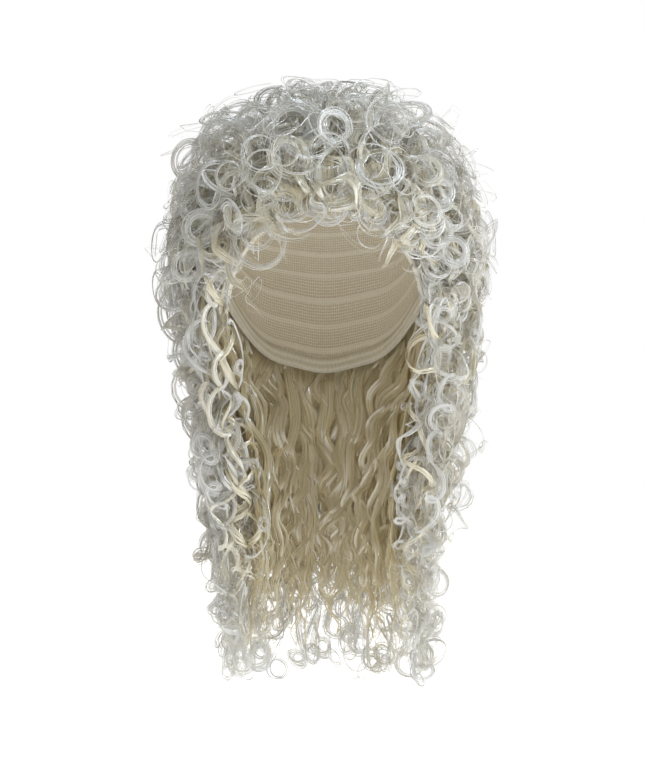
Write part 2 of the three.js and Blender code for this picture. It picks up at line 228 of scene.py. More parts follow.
def at_drop(table, column, drop):
    return np.interp(drop, table["drop"], table[column])


def hollow_sizes(drop):
    """The hollow's half width, and its reach to the front and to the back."""
    half = at_drop(HOLLOW, "width", drop) * HEAD_BREADTH / 2
    front = at_drop(HOLLOW, "front", drop) * HEAD_LENGTH / 2
    back = at_drop(HOLLOW, "back", drop) * HEAD_LENGTH / 2
    return half, front, back


def oval(azimuth, right, left, front, back):
    around = np.radians(azimuth)
    across, ahead = np.sin(around), np.cos(around)
    return across * np.where(across < 0, right, left), -ahead * np.where(ahead > 0, front, back)


def way_round(sign, share, drop):
    """Azimuths at a share of the way from face to nape."""
    opening = at_drop(HOLLOW, "opening", drop)
    return sign * (opening + (180 - opening) * share)


def reach(azimuth, drop):
    """Headings from the neck's axis, and the distances along them to the hollow and to the outline."""
    half, front, back = hollow_sizes(drop)
    inner = oval(azimuth, half, half, front, back)
    outer = oval(
        azimuth,
        at_drop(OUTLINE, "right", drop) * HAIR_WIDTH / 2,
        at_drop(OUTLINE, "left", drop) * HAIR_WIDTH / 2,
        at_drop(OUTLINE, "front", drop) * HAIR_FRONT,
        at_drop(OUTLINE, "back", drop) * HAIR_BACK,
    )
    return np.arctan2(inner[1], inner[0]), np.hypot(*inner), np.hypot(*outer)


def hung_point(out, heading, drop):
    """Places at a distance from the neck's axis and at a drop, which is a share of the hair's length."""
    return np.stack([out * np.cos(heading), out * np.sin(heading), -drop * HAIR_DROP], axis=-1)


def keep_clear(place):
    """Moves what lies inside the cap or the hollow out to it, and presses the last curls together."""
    margin = CAP_WALL + HAIR_GAP
    x, y, z = place[..., 0], place[..., 1], place[..., 2]
    upper = np.maximum(z + WIDEST_DROP, 0) / (WIDEST_DROP + margin)
    half, front, back = hollow_sizes(np.maximum(-z, WIDEST_DROP) / HAIR_DROP)
    deep = np.where(y < 0, front, back) + margin
    inside = np.sqrt((x / (half + margin)) ** 2 + (y / deep) ** 2 + upper**2)
    inside = np.maximum(inside, 0.2)
    pushed = 1 + SOFTNESS * np.log1p(np.exp(np.clip((inside - 1) / SOFTNESS, -30, 30)))
    scale = np.where(inside < CLEAR_FROM, pushed, inside) / inside
    height = np.where(z > -WIDEST_DROP, (z + WIDEST_DROP) * scale - WIDEST_DROP, z)
    moved = np.stack([x * scale, y * scale, height], axis=-1)
    return moved - PRESS * np.maximum(moved - LAST_HIGH, 0) - PRESS * np.minimum(moved - LAST_LOW, 0)


def settle(place):
    """Keeps strands (strands, samples, 3) clear, with each push spread along its strand against kinks."""
    push = keep_clear(place) - place
    for _ in range(PUSH_ROUNDS):
        before = np.concatenate([push[:, :1], push[:, :-1]], axis=1)
        after = np.concatenate([push[:, 1:], push[:, -1:]], axis=1)
        push = 0.25 * before + 0.5 * push + 0.25 * after
    return place + push


# Strands


def along_curves(points, index, t):
    """Places and directions on smooth curves through points (curves, rows, 3), at t (strands, samples)."""
    rows = points.shape[1]
    where = np.clip(t, 0, 1) * (rows - 1)
    first = np.minimum(where.astype(int), rows - 2)
    f = (where - first)[..., None]
    i = index[:, None]
    a, b = points[i, np.maximum(first - 1, 0)], points[i, first]
    c, d = points[i, first + 1], points[i, np.minimum(first + 2, rows - 1)]
    one, two, three = c - a, 2 * a - 5 * b + 4 * c - d, 3 * b - a - 3 * c + d
    place = 0.5 * (2 * b + one * f + two * f**2 + three * f**3)
    slope = 0.5 * (one + 2 * two * f + 3 * three * f**2)
    return place, slope


def ribbons(locks, clumps, per_clump, per_turn, loose=1.0, thin=1.0, lanes=1):
    """Strands wound with their locks, in clumps that lie side by side, with per_turn samples in a turn.

    loose scales how far the strands stray, thin their width, and lanes is how many lanes each one spans."""
    order = np.argsort(locks["turns"])
    groups = [part for part in np.array_split(order, 4) if len(part)]
    some = lambda part: {name: values[part] for name, values in locks.items()}
    return [wind(some(part), clumps, per_clump, per_turn, loose, thin, lanes) for part in groups]


def wind(locks, clumps, per_clump, per_turn, loose, thin, lanes):
    """One array of strands: places, the ways that they face, widths, lanes and shares of their length."""
    count = len(locks["radius"])
    n = count * clumps * per_clump
    lock = np.repeat(np.arange(count), clumps * per_clump)
    clump = np.repeat(np.arange(count * clumps), per_clump)
    each = np.tile(np.arange(per_clump) - (per_clump - 1) / 2, count * clumps)[:, None]
    own = {name: values[lock][:, None] for name, values in locks.items() if name != "path"}
    of_clump = lambda values: values[clump][:, None]
    clump_count = count * clumps
    samples = int(math.ceil(float(locks["turns"].max()) * per_turn)) + 5
    u = np.linspace(0, 1, samples)[None, :]
    t = u * (1 - ENDS_EARLY * rng.random((n, 1)) ** 1.5)

    place, slope = along_curves(locks["path"], lock, t)
    axis = unit(slope)
    first = unit(own["ref"] - axis * np.sum(own["ref"] * axis, axis=-1, keepdims=True))
    second = np.cross(axis, first)

    # How far round its coil each sample is, and how far out
    turns = own["turns"]
    wound = t + own["tight"] * (t * t - t)
    turning = np.sqrt((wound - own["flip"]) ** 2 + (0.8 / turns) ** 2)
    sway = own["sway"] * np.sin(TURN * (0.45 * turns * t) + own["sway_phase"])
    fan = of_clump(rng.normal(0, 0.12, clump_count)) + rng.normal(0, 0.03, (n, 1))
    angle = own["phase"] + own["hand"] * (TURN * turns * turning + sway) + fan * (0.3 + t) * loose
    swell = 0.15 + 0.85 * smooth(t, 0, own["root"])
    pulse = 1 + own["pulse"] * np.sin(TURN * (0.6 * turns * t) + own["pulse_phase"])
    clump_size = of_clump(rng.normal(0, 0.06, clump_count)) * loose
    size_factor = 1 + clump_size + rng.normal(0, 0.015, (n, 1)) * loose
    radius = own["radius"] * swell * pulse * (1 - own["fall"] * smooth(t, 0.5, 1.05)) * size_factor

    # Where each clump lies in its lock
    full = smooth(t, -0.02, 0.12)
    along = of_clump(rng.uniform(-0.5, 0.5, clump_count)) * own["width"] * full
    deep = of_clump(rng.normal(0, 1.0, clump_count)) * own["thickness"] * full
    plane, loop = own["plane"], own["loop"]
    rounded = np.sin(angle) * (1 - 0.7 * plane) * (1 - loop)
    spoke = first * np.cos(angle)[..., None] + second * rounded[..., None]
    spoke = spoke + axis * (np.sin(angle) * loop)[..., None]

    # The ways that a strand faces and that its neighbours lie
    rolling = np.sin(TURN * 0.7 * turns * t + of_clump(rng.uniform(0, 6.28, clump_count)))
    tilt = (own["twist"] * (of_clump(rng.normal(0, 1.0, clump_count)) + rolling))[..., None]
    outward = unit(spoke * (1 - plane)[..., None] + second * plane[..., None])
    in_plane = first * (1 - loop)[..., None] + spoke * loop[..., None]
    flat = unit(axis * (1 - plane)[..., None] + in_plane * plane[..., None])
    facing = outward * np.cos(tilt) + flat * np.sin(tilt)
    beside = flat * np.cos(tilt) - outward * np.sin(tilt)

    strand = own["strand"] * thin
    gather = (0.55 + 0.45 * full) * (1 - 0.75 * smooth(t, 0.75, 1.0))
    spacing = (each * 1.1 + rng.normal(0, 0.35, (n, 1))) * strand * gather
    place = place + spoke * (radius + deep)[..., None] + flat * along[..., None]
    place = place + beside * spacing[..., None]
    lean = 0.9 * each / per_clump
    facing = facing * np.cos(lean)[..., None] + beside * np.sin(lean)[..., None]

    # Slow waves that set the clumps and, less so, their strands apart
    stray = ((0.3 + 0.6 * t**2) * loose)[..., None]
    for wave in (1.3, 2.9):
        phase = of_clump(rng.uniform(0, TURN, (clump_count, 3)))
        amount = of_clump(rng.normal(0, 0.4 / wave, (clump_count, 3))) + rng.normal(0, 0.08, (n, 1, 3))
        angle = TURN * wave * t[..., None] * turns[..., None] * 0.35 + phase
        place = place + amount * np.sin(angle) * stray
    place = settle(place)

    size = strand * rng.uniform(*STRAND_WIDTHS, (n, 1))
    size = size * (0.5 + 0.5 * smooth(t, 0, 0.06)) * (1 - 0.8 * smooth(u, 0.7, 1.0))
    shade = lane_depth(own["depth"], of_clump(rng.normal(0, 0.5, clump_count)))
    lane = shade[:, 0] * LANES_PER_DEPTH + rng.integers(0, LANES_PER_DEPTH - lanes + 1, n)
    return place, facing, size, lane, t, lanes


def lane_depth(tone, stray):
    """Which group of lanes a tone falls in, from 0, the deepest."""
    return np.clip(np.round(tone * (DEPTHS - 1) + stray), 0, DEPTHS - 1)


def strips(groups):
    """Flat strips along strands, as points, normals, faces and places on the map."""
    points, normals, faces, maps = [], [], [], []
    base = 0
    for place, facing, size, lane, t, lanes in groups:
        n, samples = size.shape
        forward = unit(np.gradient(place, axis=1))
        facing = unit(facing - forward * np.sum(facing * forward, axis=-1, keepdims=True))
        side = np.cross(forward, facing)
        half = side * size[..., None] * 0.5
        points.append(np.stack([place - half, place + half], axis=2).reshape(-1, 3))
        bent = NORMAL_BEND * side
        normals.append(np.stack([unit(facing - bent), unit(facing + bent)], axis=2).reshape(-1, 3))
        low = np.broadcast_to((lane[:, None] + LANE_MARGIN) / LANES, t.shape)
        high = np.broadcast_to((lane[:, None] + lanes - LANE_MARGIN) / LANES, t.shape)
        v = 0.02 + 0.96 * t
        maps.append(np.stack([np.stack([low, v], -1), np.stack([high, v], -1)], axis=2).reshape(-1, 2))
        at = base + 2 * (np.arange(n)[:, None] * samples + np.arange(samples - 1)[None, :]).reshape(-1)
        faces.append(np.stack([at, at + 1, at + 3, at + 2], axis=1))
        base += 2 * n * samples
    return np.concatenate(points), np.concatenate(normals), np.concatenate(faces), np.concatenate(maps)


def put(name, data):
    """An object with its data, in the scene."""
    item = bpy.data.objects.new(name, data)
    bpy.context.collection.objects.link(item)
    return item


def make_mesh(name, points, faces, material, maps, normals=None):
    mesh = bpy.data.meshes.new(name)
    count, corners = faces.shape
    mesh.vertices.add(len(points))
    mesh.vertices.foreach_set("co", (points * MM).astype(np.float32).ravel())
    mesh.loops.add(count * corners)
    mesh.loops.foreach_set("vertex_index", faces.astype(np.int32).ravel())
    mesh.polygons.add(count)
    mesh.polygons.foreach_set("loop_start", np.arange(0, count * corners, corners, dtype=np.int32))
    mesh.polygons.foreach_set("use_smooth", np.ones(count, dtype=bool))
    layer = mesh.uv_layers.new(name="OFBake")
    layer.data.foreach_set("uv", maps[faces.ravel()].astype(np.float32).ravel())
    mesh.update(calc_edges=True)
    mesh.validate()
    if normals is not None:
        mesh.normals_split_custom_set_from_vertices(normals.astype(np.float32))
    mesh.materials.append(material)
    return put(name, mesh)


# Locks


def lock_set(path, ref, radius, turns, depth, **look):
    """Locks with a path, a direction across it, a radius, turns and a tone for each, wound with a look."""
    n = len(path)
    values = dict(radius=radius, turns=turns, depth=depth, **{**PLAIN, **look})
    flips = values.pop("flips")
    locks = {name: np.broadcast_to(np.asarray(value, float), (n,)).copy() for name, value in values.items()}
    locks.update(
        path=path,
        ref=ref,
        flip=np.where(rng.random(n) < flips, rng.uniform(0.3, 0.7, n), -1.0),
        sway=rng.uniform(0.2, 1.0, n),
        sway_phase=rng.uniform(0, TURN, n),
        pulse=rng.uniform(0.05, 0.3, n),
        pulse_phase=rng.uniform(0, TURN, n),
        phase=rng.uniform(0, TURN, n),
        hand=rng.choice([-1.0, 1.0], n),
    )
    return locks


def wobble(n, rows, waves, size):
    """A smooth random shift for each row of each path, which starts from nothing."""
    t = np.linspace(0, 1, rows)[None, :, None]
    shift = np.zeros((n, rows, 3))
    for wave in waves:
        phase = rng.uniform(0, TURN, (n, 1, 3))
        shift += rng.normal(0, size, (n, 1, 3)) * np.sin(TURN * wave * t + phase) / len(waves) ** 0.5
    return shift * smooth(t, 0.02, 0.2)


def level_direction(azimuth):
    """Level directions at right angles to the way out from the neck's axis."""
    around = np.radians(azimuth)
    return np.stack([np.cos(around), np.sin(around), np.zeros(len(azimuth))], axis=-1)


def long_locks(
    sign, low, high, count, depths, radius, pitch, tips, shift=7.5, tops=(0.1, 0.26), turned=0.0, **look
):
    """Ringlets between two shares of the way from face to nape.

    Depths are 0 at the hollow and 1 at the outline, and tips and tops are drops. shift is how far
    the paths wander, and turned by how many degrees the coils are turned from side to side."""
    rows = 16
    share = low + (high - low) * (np.arange(count) + rng.uniform(0.1, 0.9, count)) / count
    rng.shuffle(share)
    depth = rng.uniform(*depths, count)
    tip = rng.uniform(*tips, count)
    coil = rng.uniform(*radius, count)
    top = np.minimum(rng.uniform(*tops, count), tip - 0.25)
    t = np.linspace(0, 1, rows)[None, :]
    drop = top[:, None] + (tip - top)[:, None] * t
    azimuth = way_round(sign, share[:, None], drop)
    heading, inner, outer = reach(azimuth, drop)
    room = coil[:, None] * 0.8 + 2
    near = inner + room
    far = np.maximum(outer - room, near)
    out = near + (far - near) * depth[:, None] * smooth(t, -0.02, 0.14)
    out = out - (room - 3) * (1 - smooth(t, 0.0, 0.1))
    moved = wobble(count, rows, (2.2, 3.7, 5.3), shift)
    moved[..., 2] *= 0.7
    path = hung_point(out, heading, drop) + moved * np.minimum(1, coil / 9)[:, None, None]
    ref = level_direction(azimuth[:, rows // 2] + rng.normal(0, 1, count) * turned)
    turns = (tip - top) * HAIR_DROP / rng.uniform(*pitch, count)
    # Ringlets nearer the hollow take warmer, deeper lanes: painted shade inside the hank
    least, span, power = RINGLET_TONE
    return lock_set(path, ref, coil, turns, least + span * depth**power, **{**RINGLET, **look})


def tip_curls(sign, low, high, count, drops, radius, turns):
    """Ends of ringlets that come out of the hanging hair and coil in any direction."""
    rows = 9
    share = low + (high - low) * rng.random(count)
    tip = rng.uniform(*drops, count)
    coil = rng.uniform(*radius, count)
    t = np.linspace(0, 1, rows)[None, :]
    drop = tip[:, None] - 0.15 * (1 - t)
    heading, inner, outer = reach(way_round(sign, share[:, None], drop), drop)
    depth = 0.5 + (rng.uniform(0.8, 1.0, count)[:, None] - 0.5) * smooth(t, 0, 0.6)
    out = inner + (outer - inner) * depth - coil[:, None] * 0.5
    path = hung_point(out, heading, drop)
    away = unit(rng.normal(0, 1, (count, 3)) - 0.5 * UP)
    path = path + away[:, None] * (rng.uniform(8, 22, count)[:, None] * smooth(t, 0.45, 1.0) * t)[..., None]
    path = path + wobble(count, rows, (1.5,), 4.0)
    ref = unit(rng.normal(0, 1, (count, 3)))
    return lock_set(path, ref, coil, rng.uniform(*turns, count), TIP_TONE, **TIP)


def down_the_head(azimuths, polars, length, heading, t, high, ahead=0.6, start=0.0, least=0.35):
    """Azimuths and polar angles of paths that run down the head, at headings from straight down.

    A sideways step is as wide as the head is at a share ahead of the way down, plus start degrees,
    and the head is taken to be no narrower than least."""
    around_head = HEAD_BREADTH / 2 + high
    down = np.degrees(length * t * np.cos(heading) / around_head)
    steep = np.maximum(np.sin(np.radians(polars[:, None] + down * ahead + start)), least)
    side = np.degrees(length * t * np.sin(heading) / around_head) / steep
    return azimuths[:, None] + side, polars[:, None] + down


def across_path(path, row, first=1):
    """Directions across paths, level with the head at a row."""
    return np.cross(path[:, -1] - path[:, first], unit(path[:, row] - HEAD_MIDDLE))


def short_locks(azimuths, polars, radius, lift, run, turns):
    """Curls rooted on the cap, that end lift short of the outline and run down the head."""
    count = len(azimuths)
    rows = 9
    t = np.linspace(0, 1, rows)[None, :]
    length = rng.uniform(*run, count)[:, None]
    coil = rng.uniform(*radius, count)
    heading = np.radians(rng.normal(0, 55, count))[:, None]
    high = np.maximum(hair_height(azimuths, polars) - coil - rng.uniform(*lift, count), 5)[:, None]
    azimuth, polar = down_the_head(azimuths, polars, length, heading, t, 18)
    path = head_point(azimuth, polar, CAP_WALL + high * smooth(t, 0, 0.45))
    path = path + wobble(count, rows, (1.1, 2.3), 5.0)
    ref = unit(across_path(path, rows // 2))
    return lock_set(path, ref, coil, rng.uniform(*turns, count), SHORT_TONE, **SHORT)


def under_layer(azimuths, polars):
    """Flat waves close over the cap, which the curls stand on."""
    rows = 6
    t = np.linspace(0, 1, rows)[None, :]
    room = np.radians(cap_edge(azimuths) - polars) * (HEAD_BREADTH / 2 + 5)
    azimuths, polars, room = azimuths[room > 9], polars[room > 9], room[room > 9]
    count = len(azimuths)
    length = np.minimum(rng.uniform(26, 40, count), room)[:, None]
    heading = np.radians(rng.normal(0, 28, count))[:, None]
    azimuth, polar = down_the_head(azimuths, polars, length, heading, t, 5, 0.5, 5, 1e-9)
    polar = np.minimum(polar, cap_edge(azimuths)[:, None] + 2)
    path = head_point(azimuth, polar, ROOT_HEIGHT + 5 * t)
    ref = across_path(path, 1, 0)
    return lock_set(path, ref, 3.0, rng.uniform(0.8, 1.6, count), UNDER_TONE, **UNDER)


def flowing_locks(azimuths, polars, share, run):
    """Waves that flow down the head at a share of the hair's height, and end at the cap's edge."""
    count = len(azimuths)
    rows = 9
    t = np.linspace(0, 1, rows)[None, :]
    high = 18
    length = rng.uniform(*run, count)[:, None]
    heading = np.radians(rng.normal(0, 38, count))[:, None]
    room = (cap_edge(azimuths) + rng.uniform(-2, 7, count) - polars)[:, None]
    wanted = np.maximum(np.degrees(length * np.cos(heading) / (HEAD_BREADTH / 2 + high)), 1e-6)
    length = length * np.clip(room / wanted, 0.35, 1)
    azimuth, polar = down_the_head(azimuths, polars, length, heading, t, high)
    height = rng.uniform(*share, count)[:, None] * hair_height(azimuth, polar)
    path = head_point(azimuth, polar, CAP_WALL + height * smooth(t, -0.05, 0.4))
    path = path + wobble(count, rows, (0.9, 1.7), 4.0)
    ref = unit(across_path(path, rows // 2))
    # Locks that lie lower over the cap take warmer lanes: painted shade
    tone = 0.3 + 0.6 * height[:, -1] / 50
    turns = np.maximum(length[:, 0] / rng.uniform(28, 44, count), 0.6)
    return lock_set(path, ref, rng.uniform(3, 7, count), turns, tone, **FLOWING)


# Rings


def rings(centre, normal, root, radius, sweep, strands, size, fall, tone):
    """Locks that run from a root into a ring round a centre, as arrays of strands that lie side by side."""
    count = len(radius)
    n = count * strands
    lock = np.repeat(np.arange(count), strands)
    each = np.tile(np.arange(strands) - (strands - 1) / 2, count)[:, None]
    across = unit(np.cross(normal, unit(rng.normal(0, 0.2, (count, 3)) + UP)))
    upright = np.cross(across, normal)
    root_up = np.sum((root - centre) * upright, axis=-1)
    root_across = np.sum((root - centre) * across, axis=-1)
    distance = np.maximum(np.hypot(root_up, root_across), 1e-6)
    start = np.arctan2(root_up, root_across) + np.sign(sweep) * np.arccos(np.clip(radius / distance, 0, 1))
    of_locks = (centre, normal, root, across, upright, radius, sweep, fall, start)
    centre, normal, root, across, upright, radius, sweep, fall, start = (
        values[lock][:, None] for values in of_locks
    )
    turned_to = lambda angle: across * np.cos(angle)[..., None] + upright * np.sin(angle)[..., None]

    samples = int(np.max(np.abs(sweep)) / TURN * RING_STEPS + 8)
    u = np.linspace(0, 1, samples)[None, :]
    t = u * (1 - RING_ENDS_EARLY * rng.random((n, 1)) ** 1.5)
    wound = np.maximum(t - LEAD_IN, 0) / (1 - LEAD_IN)
    away = turned_to(start + sweep * wound)
    own = 1 + rng.normal(0, 0.025, (n, 1)) * (0.4 + wound)
    reach_out = radius * own * (1 - fall * smooth(wound, 0.4, 1.0))
    shift = (each + rng.normal(0, 0.3, (n, 1))) * size * (1 - 0.6 * smooth(wound, 0.65, 1.0))
    level = rng.normal(0, 0.8, (n, 1))
    ring = centre + away * (reach_out + shift)[..., None] + normal * (2.5 * wound + level)[..., None]

    # From the root to where the ring starts, on a curve that meets it in its own direction
    begin = turned_to(start)
    tangent = turned_to(start + np.sign(sweep) * math.pi / 2)
    entry = centre + begin * (radius * own + shift)[..., None] + normal * level[..., None]
    origin = root + begin * (shift * 0.6)[..., None]
    span = np.linalg.norm(entry - origin, axis=-1, keepdims=True)
    s = np.clip(t / LEAD_IN, 0, 1)[..., None]
    lead_in = (
        (2 * s**3 - 3 * s**2 + 1) * origin
        + (s**3 - 2 * s**2 + s) * ((0.7 * normal + 0.4 * tangent) * span)
        + (3 * s**2 - 2 * s**3) * entry
        + (s**3 - s**2) * tangent * span * 1.1
    )
    place = np.where((t < LEAD_IN)[..., None], lead_in, ring)
    for wave in (0.9, 2.1):
        phase = rng.uniform(0, TURN, (n, 1, 3))
        place = place + rng.normal(0, 0.25 / wave, (n, 1, 3)) * np.sin(TURN * wave * t[..., None] + phase)
    place = settle(place)

    lean = each / strands + rng.normal(0, 0.12, (n, 1))
    facing = normal * np.cos(lean)[..., None] + away * np.sin(lean)[..., None]
    ringed = smooth(s, 0.3, 1.0)
    facing = begin * (1 - ringed) + facing * ringed
    width = size * rng.uniform(*RING_STRAND_WIDTHS, (n, 1)) * (1 - 0.75 * smooth(u, 0.75, 1.0))
    shade = lane_depth(tone, np.repeat(rng.normal(0, 0.8, count), strands))
    lane = shade * LANES_PER_DEPTH + rng.integers(0, LANES_PER_DEPTH, n)
    return [(place, facing, width, lane, t, 1)]


def turned_rings(centre, normal, root, coil, strands, size, angles, falls, tone):
    """Rings that turn either way round, between two angles in degrees."""
    count = len(coil)
    sweep = rng.choice([-1.0, 1.0], count) * np.radians(rng.uniform(*angles, count))
    fall = rng.uniform(*falls, count)
    return rings(centre, normal, root, coil, sweep, strands, size, fall, tone)


def head_rings(azimuth, polar, radius, short_of, strands, size):
    """Rings over the cap, short of the outline, with each root up the head from its ring."""
    count = len(azimuth)
    coil = rng.uniform(*radius, count)
    high = np.maximum(hair_height(azimuth, polar) - rng.uniform(*short_of, count), 8)
    centre = head_point(azimuth, polar, high)
    normal = unit(unit(centre - HEAD_MIDDLE) + rng.normal(0, 0.38, (count, 3)))
    back = np.degrees(coil * rng.uniform(1.1, 1.7, count) / (HEAD_BREADTH / 2))
    root = head_point(azimuth + rng.normal(0, 5, count), np.maximum(polar - back, 1), ROOT_HEIGHT)
    return turned_rings(centre, normal, root, coil, strands, size, (230, 580), (0.1, 0.5), RING_TONE)


def hairline_rings(low_azimuth, high_azimuth, count, radius, strands, size):
    """Rings that hang over the front edge of the cap."""
    azimuth = np.linspace(low_azimuth, high_azimuth, count) + rng.uniform(-2, 2, count)
    coil = rng.uniform(*radius, count)
    polar = cap_edge(azimuth) + rng.uniform(-9, 4, count)
    centre = head_point(azimuth, polar, rng.uniform(9, 22, count))
    normal = unit(0.4 * AHEAD + 0.6 * unit(centre - HEAD_MIDDLE) + rng.normal(0, 0.16, (count, 3)))
    up = np.degrees(coil * rng.uniform(1.2, 1.8, count) / (HEAD_LENGTH / 2))
    root = head_point(azimuth + rng.normal(0, 4, count), cap_edge(azimuth) - 6 - up, ROOT_HEIGHT)
    return turned_rings(centre, normal, root, coil, strands, size, (260, 520), (0.15, 0.4), RING_TONE)


def hanging_rings(sign, low, high, count, drops, radius, strands, size):
    """Ends of ringlets that come out of the hanging hair and close into rings."""
    share = low + (high - low) * rng.random(count)
    drop = rng.uniform(*drops, count)
    coil = rng.uniform(*radius, count)
    azimuth = way_round(sign, share, drop)
    heading, inner, outer = reach(azimuth, drop)
    out = np.maximum(outer * rng.uniform(0.86, 1.02, count) - coil * 0.5, inner + coil)
    centre = hung_point(out, heading, drop)
    normal = unit(rng.normal(0, 1, (count, 3)) * np.array([1, 1, 0.45]))
    above = rng.uniform(0.05, 0.11, count)
    _, inner, outer = reach(azimuth, drop - above)
    root = hung_point(inner * 0.4 + outer * 0.55, heading, drop - above)
    tone = HANGING_RING_TONE
    return turned_rings(centre, normal, root, coil, strands, size, (320, 700), (0.1, 0.45), tone)


def drawn_loops(table):
    """Rings at listed places: see DRAWN."""
    groups = []
    for x, y, radius, start, sweep, high, strands, size in table:
        coil = np.array([radius * MM_PER_PIXEL])
        across = (x - CROWN_PIXEL[0]) * MM_PER_PIXEL
        up = (CROWN_PIXEL[1] - y) * MM_PER_PIXEL + WIDEST_DROP
        sizes = np.array([HEAD_BREADTH / 2 + high, HEAD_LENGTH / 2 + high, WIDEST_DROP + high])
        rest = 1 - (across / sizes[0]) ** 2 - (up / sizes[2]) ** 2
        centre = np.array([[across, -sizes[1] * math.sqrt(max(rest, 0.0)), up - WIDEST_DROP]])
        begin = np.radians(start)
        root = centre + coil * np.array([[math.cos(begin), 0, math.sin(begin)]]) * 1.3
        length = np.linalg.norm(root - HEAD_MIDDLE)
        root = HEAD_MIDDLE + unit(root - HEAD_MIDDLE) * (length - high * 0.85)
        lean = 8 / (high + 8)
        normal = unit((1 - lean) * AHEAD + lean * unit((centre - HEAD_MIDDLE) / sizes**2))
        turn = np.array([np.radians(-sweep)])
        fall = np.array([DRAWN_FALL])
        groups += rings(centre, normal, root, coil, turn, strands, size, fall, DRAWN_TONE)
    return groups


def scatter(low_azimuth, high_azimuth, low_polar, high_polar, spacing):
    """Jittered places on the cap about spacing apart, between azimuths and polar angles or its edge."""
    radius = HEAD_BREADTH / 2 + 8
    azimuths, polars = [], []
    width = high_azimuth - low_azimuth
    count = max(1, round(math.radians(width) * radius / spacing))
    for column in range(count):
        azimuth = low_azimuth + width * (column + 0.5) / count
        high = min(float(cap_edge(azimuth)) - 1.5, high_polar)
        rows = max(1, round(math.radians(high - low_polar) * radius / spacing))
        polar = low_polar + (high - low_polar) * (np.arange(rows) + rng.uniform(0.1, 0.9, rows)) / rows
        kept = rng.random(rows) < np.sin(np.radians(polar)) + 0.05
        azimuths.append(azimuth + rng.uniform(-0.5, 0.5, kept.sum()) * width / count)
        polars.append(polar[kept])
    azimuths, polars = np.concatenate(azimuths), np.concatenate(polars)
    return azimuths, np.minimum(polars, cap_edge(azimuths) - 1.0)


# Materials

# The hair's colours from its deepest lanes to its palest, with painted shade: the deep lanes, which lie
#  in the shade inside the mass, are a warmer cream. Then the share of light that passes through
HAIR_COLOURS_AND_PAINTED_SHADE = (
    (0.0, (0.93, 0.81, 0.52)),
    (0.45, (0.90, 0.825, 0.61)),
    (0.72, (0.865, 0.84, 0.765)),
    (1.0, (0.84, 0.845, 0.84)),
)
LIGHT_THROUGH = 0.3
# Streaks across and along the map, and how far they darken and lighten
STREAKS = (LANES * 2.6, 3.0, 1.0)
STREAK_SHADES = (0.58, 1.17)
TAPE_COLOUR = (0.84, 0.79, 0.68, 1)


def tree_of(name):
    """A new material, its nodes and its output node."""
    material = bpy.data.materials.new(name)
    material.use_nodes = True
    nodes = material.node_tree.nodes
    nodes.clear()
    return material, nodes, nodes.new("ShaderNodeOutputMaterial")


def add(nodes, kind, **values):
    """A shader node with values on its own sockets, whose names have underscores for spaces here."""
    node = nodes.new("ShaderNode" + kind)
    for name, value in values.items():
        node.inputs[name.replace("_", " ")].default_value = value
    return node


def wire(start, end, socket=0, output=0):
    start.id_data.links.new(start.outputs[output], end.inputs[socket])


def add_ramp(nodes, *stops):
    """A colour ramp with stops of a position and a colour, in order."""
    node = add(nodes, "ValToRGB")
    elements = node.color_ramp.elements
    elements[0].position, elements[1].position = stops[0][0], stops[-1][0]
    for position, _ in stops[1:-1]:
        elements.new(position)
    for element, (_, colour) in zip(elements, stops):
        element.color = (*colour, 1)
    return node


def add_map(nodes):
    node = add(nodes, "UVMap")
    node.uv_map = "OFBake"
    return node


def add_bump(nodes, height, surface, strength, distance):
    bump = add(nodes, "Bump", Strength=strength, Distance=distance)
    wire(height, bump, "Height")
    wire(bump, surface, "Normal")


def hair_material():
    """Glossy fibres: a tone for each lane of the map, warm cream in the deep lanes as painted shade, and
    streaks along the strands.
    """
    material, nodes, out = tree_of("hair")
    mix = add(nodes, "MixShader")
    mix.inputs[0].default_value = LIGHT_THROUGH
    surface = add(nodes, "BsdfPrincipled", Roughness=0.3, IOR=2.0, Specular_IOR_Level=1.0)
    surface.inputs["Coat Weight"].default_value = 0.9
    surface.inputs["Coat Roughness"].default_value = 0.15
    through = add(nodes, "BsdfTranslucent")
    where = add_map(nodes)
    split = add(nodes, "SeparateXYZ")
    wire(where, split)
    depth = add_ramp(nodes, *HAIR_COLOURS_AND_PAINTED_SHADE)
    wire(split, depth)
    stretch = add(nodes, "Mapping", Scale=STREAKS)
    wire(where, stretch)
    streak = add(nodes, "TexNoise", Scale=1.0, Detail=2.0)
    wire(stretch, streak, "Vector")
    darkest, lightest = STREAK_SHADES
    level = add(nodes, "MapRange", From_Min=0.3, From_Max=0.7, To_Min=darkest, To_Max=lightest)
    wire(streak, level, "Value")
    tint = add(nodes, "Mix")
    tint.data_type, tint.blend_type = "RGBA", "MULTIPLY"
    tint.inputs["Factor"].default_value = 1.0
    wire(depth, tint, 6)
    wire(level, tint, 7)
    wire(tint, surface, "Base Color", 2)
    wire(tint, through, "Color", 2)
    add_bump(nodes, streak, surface, 0.5, 0.00002)
    wire(surface, mix, 1)
    wire(through, mix, 2)
    wire(mix, out)
    return material


